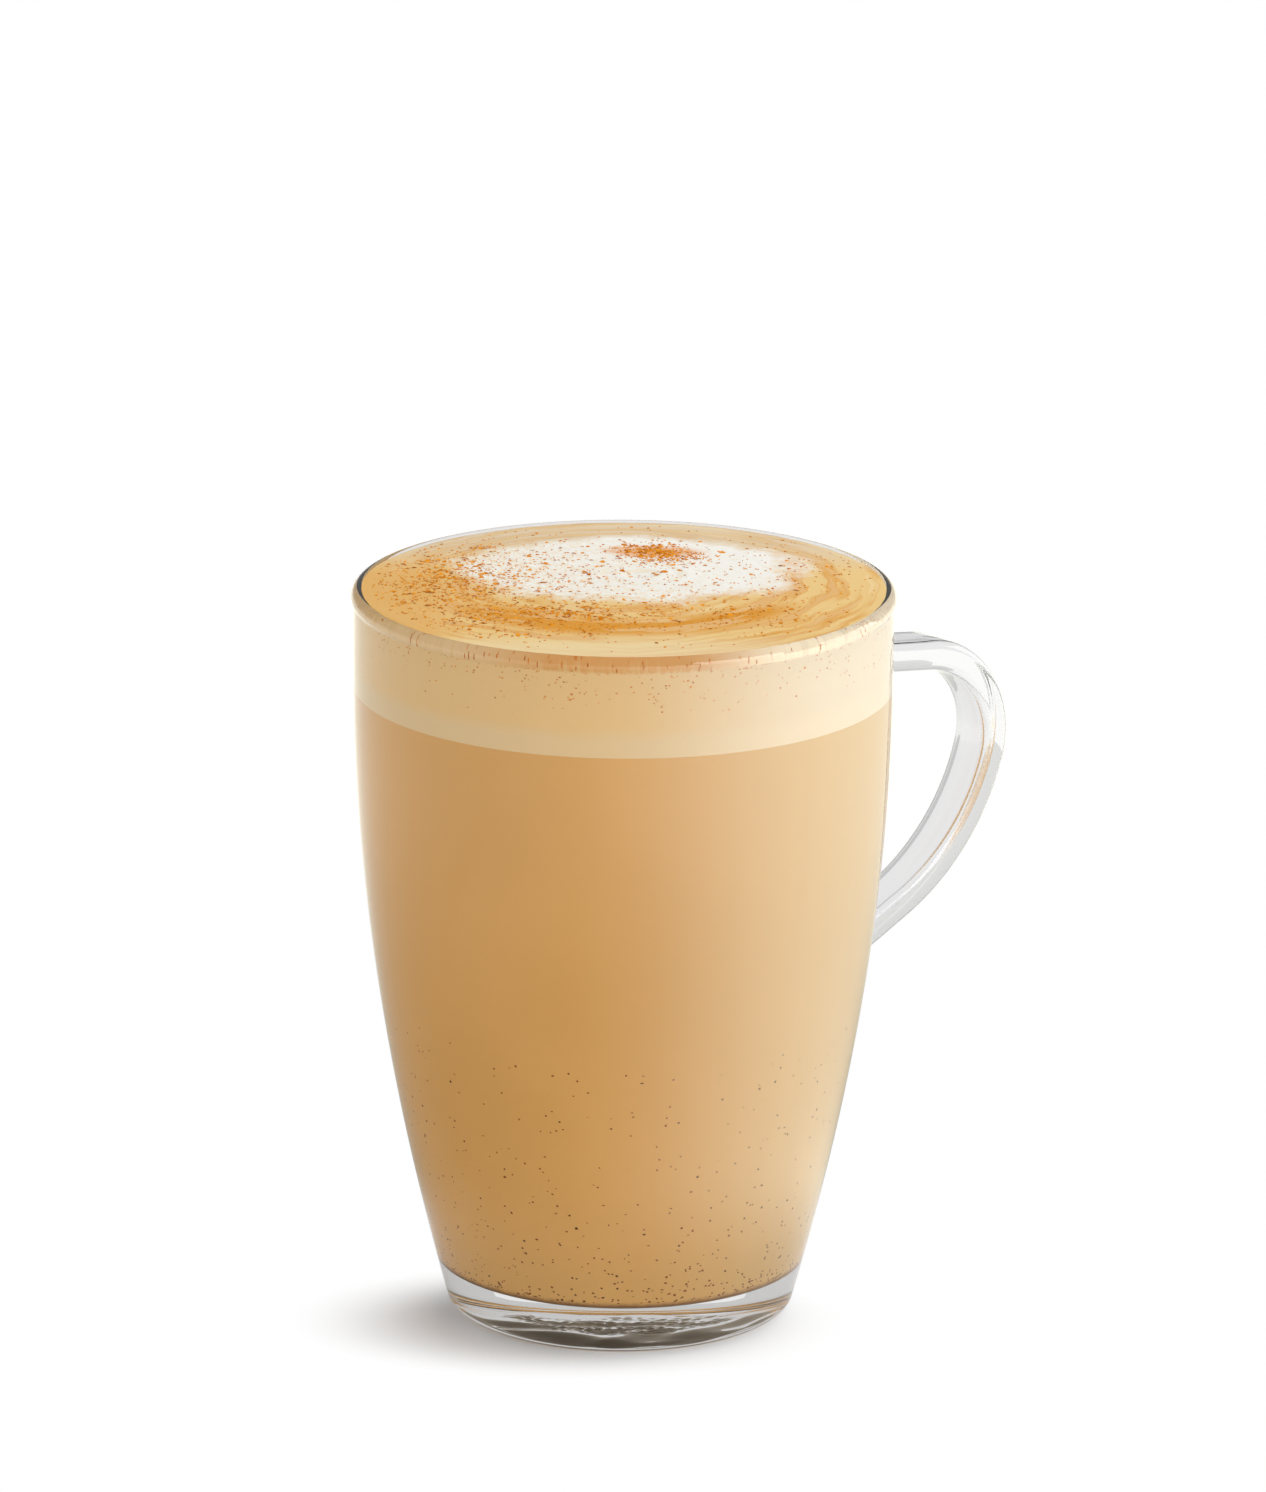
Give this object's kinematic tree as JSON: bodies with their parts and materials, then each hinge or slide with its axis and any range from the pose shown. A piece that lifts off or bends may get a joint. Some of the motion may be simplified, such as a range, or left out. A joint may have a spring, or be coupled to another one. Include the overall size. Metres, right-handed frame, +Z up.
{
  "type": "pumpkin spice latte in a glass mug",
  "caption": "Milk coffee with a pale foam band and a domed, spice-dusted foam top, filled to the brim of a clear glass mug with a strap handle.",
  "frame": {"origin": "centre of the standing ring under the base, on the plane it rests on", "axes": "+Z up along the mug's axis, +X towards the handle, whose strap lies in the XZ plane"},
  "size_m": [0.1202, 0.088, 0.1225],
  "materials": {
    "clear_glass": "clear, smooth pressed glass",
    "latte": "opaque milk coffee with fine settled specks",
    "milk_foam": "fine pale milk foam",
    "crema_foam": "coffee-stained foam with a white milk patch and dusted spice"
  },
  "bodies": {
    "root": {"glass_mug": "clear_glass", "latte": "latte", "milk_foam": "milk_foam", "crema_foam": "crema_foam"}
  },
  "joints": []
}
